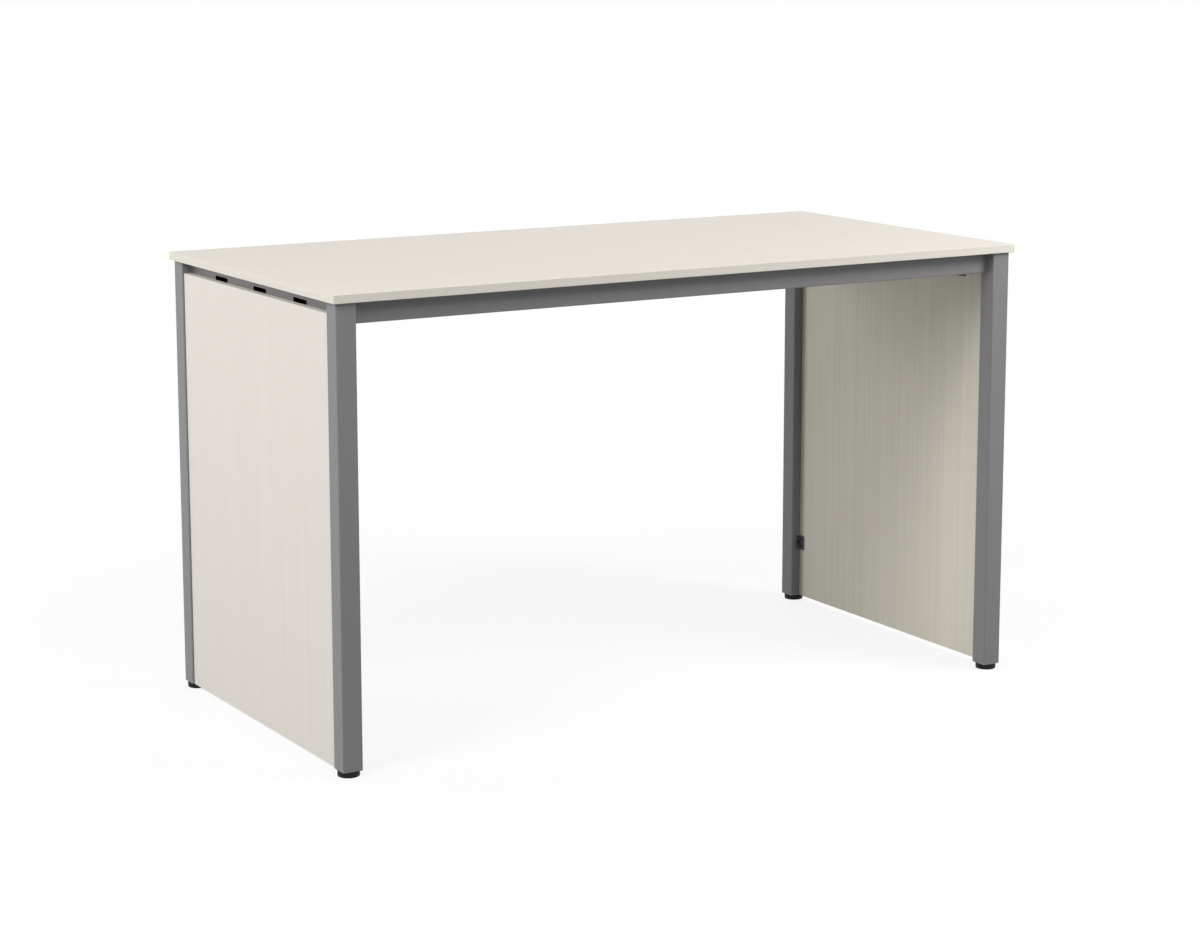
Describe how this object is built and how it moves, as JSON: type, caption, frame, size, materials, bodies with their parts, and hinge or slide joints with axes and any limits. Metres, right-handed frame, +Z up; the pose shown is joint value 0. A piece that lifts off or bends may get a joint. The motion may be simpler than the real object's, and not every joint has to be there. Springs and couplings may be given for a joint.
{
  "type": "conference table",
  "caption": "Standing-height rectangular conference table with a laminate worktop, square steel tube legs and rails, full-height end panels and screw levelling glides.",
  "frame": {"origin": "on the floor, under the middle of the worktop", "axes": "+Z up, +X along the table's length to the right seen from the front, +Y to the back"},
  "size_m": [1.829, 0.914, 1.067],
  "materials": {
    "laminate": "pale cream laminate with fine straight grain, satin",
    "edge_band": "pale cream band matched to the laminate, satin",
    "backing_sheet": "plain matt backing sheet",
    "particleboard": "raw chipboard",
    "frame_paint": "silver grey powder coat, satin",
    "bracket_paint": "dark grey coat, satin",
    "bare_steel": "mill finish steel",
    "zinc_steel": "bright zinc plate",
    "black_zinc": "black zinc plate, satin",
    "glide_nylon": "black moulded nylon, matt"
  },
  "bodies": {
    "root": {"worktop_laminate": "laminate", "left_panel_inner_laminate": "laminate", "left_panel_outer_laminate": "laminate", "right_panel_inner_laminate": "laminate", "right_panel_outer_laminate": "laminate", "worktop_edge_band_front": "edge_band", "worktop_edge_band_back": "edge_band", "worktop_edge_band_left": "edge_band", "worktop_edge_band_right": "edge_band", "left_panel_edge_bands": "edge_band", "right_panel_edge_bands": "edge_band", "worktop_backer": "backing_sheet", "worktop_core": "particleboard", "left_panel_core": "particleboard", "right_panel_core": "particleboard", "front_rail": "frame_paint", "back_rail": "frame_paint", "left_end_rail": "frame_paint", "right_end_rail": "frame_paint", "cross_rail": "frame_paint", "leg_caps": "frame_paint", "leg_front_left": "frame_paint", "leg_front_right": "frame_paint", "leg_back_left": "frame_paint", "leg_back_right": "frame_paint", "corner_bracket_front_left": "frame_paint", "corner_bracket_front_right": "frame_paint", "corner_bracket_back_left": "frame_paint", "corner_bracket_back_right": "frame_paint", "upper_panel_bracket_front_left": "bracket_paint", "upper_panel_bracket_front_right": "bracket_paint", "upper_panel_bracket_back_left": "bracket_paint", "upper_panel_bracket_back_right": "bracket_paint", "lower_panel_bracket_front_left": "bracket_paint", "lower_panel_bracket_front_right": "bracket_paint", "lower_panel_bracket_back_left": "bracket_paint", "lower_panel_bracket_back_right": "bracket_paint", "worktop_clips": "bracket_paint", "foot_plate_front_left": "bare_steel", "foot_plate_front_right": "bare_steel", "foot_plate_back_left": "bare_steel", "foot_plate_back_right": "bare_steel", "weld_nut_front_left": "bare_steel", "weld_nut_front_right": "bare_steel", "weld_nut_back_left": "bare_steel", "weld_nut_back_right": "bare_steel", "frame_bolts": "zinc_steel", "rivet_nuts": "zinc_steel", "worktop_screws": "zinc_steel", "panel_screws": "black_zinc", "steel_screws": "black_zinc"},
    "pad_front_left": {"glide_pad_front_left": "glide_nylon"},
    "stem_front_left": {"glide_stem_front_left": "zinc_steel"},
    "pad_front_right": {"glide_pad_front_right": "glide_nylon"},
    "stem_front_right": {"glide_stem_front_right": "zinc_steel"},
    "pad_back_left": {"glide_pad_back_left": "glide_nylon"},
    "stem_back_left": {"glide_stem_back_left": "zinc_steel"},
    "pad_back_right": {"glide_pad_back_right": "glide_nylon"},
    "stem_back_right": {"glide_stem_back_right": "zinc_steel"}
  },
  "joints": [
    {"name": "glide_travel_front_left", "type": "slide", "parent": "root", "child": "pad_front_left", "axis": [0, 0, -1], "range_m": [0, 0.02]},
    {"name": "stem_turn_front_left", "type": "hinge", "parent": "pad_front_left", "child": "stem_front_left", "pos_m": [-0.8815, -0.424, 0], "axis": [0, 0, -1], "range_deg": [0, 4800]},
    {"name": "glide_travel_front_right", "type": "slide", "parent": "root", "child": "pad_front_right", "axis": [0, 0, -1], "range_m": [0, 0.02]},
    {"name": "stem_turn_front_right", "type": "hinge", "parent": "pad_front_right", "child": "stem_front_right", "pos_m": [0.8815, -0.424, 0], "axis": [0, 0, -1], "range_deg": [0, 4800]},
    {"name": "glide_travel_back_left", "type": "slide", "parent": "root", "child": "pad_back_left", "axis": [0, 0, -1], "range_m": [0, 0.02]},
    {"name": "stem_turn_back_left", "type": "hinge", "parent": "pad_back_left", "child": "stem_back_left", "pos_m": [-0.8815, 0.424, 0], "axis": [0, 0, -1], "range_deg": [0, 4800]},
    {"name": "glide_travel_back_right", "type": "slide", "parent": "root", "child": "pad_back_right", "axis": [0, 0, -1], "range_m": [0, 0.02]},
    {"name": "stem_turn_back_right", "type": "hinge", "parent": "pad_back_right", "child": "stem_back_right", "pos_m": [0.8815, 0.424, 0], "axis": [0, 0, -1], "range_deg": [0, 4800]}
  ],
  "couplings": [
    {"joint": "stem_turn_front_left", "follows": "glide_travel_front_left", "rad_per_m": 4188.8},
    {"joint": "stem_turn_front_right", "follows": "glide_travel_front_right", "rad_per_m": 4188.8},
    {"joint": "stem_turn_back_left", "follows": "glide_travel_back_left", "rad_per_m": 4188.8},
    {"joint": "stem_turn_back_right", "follows": "glide_travel_back_right", "rad_per_m": 4188.8}
  ]
}
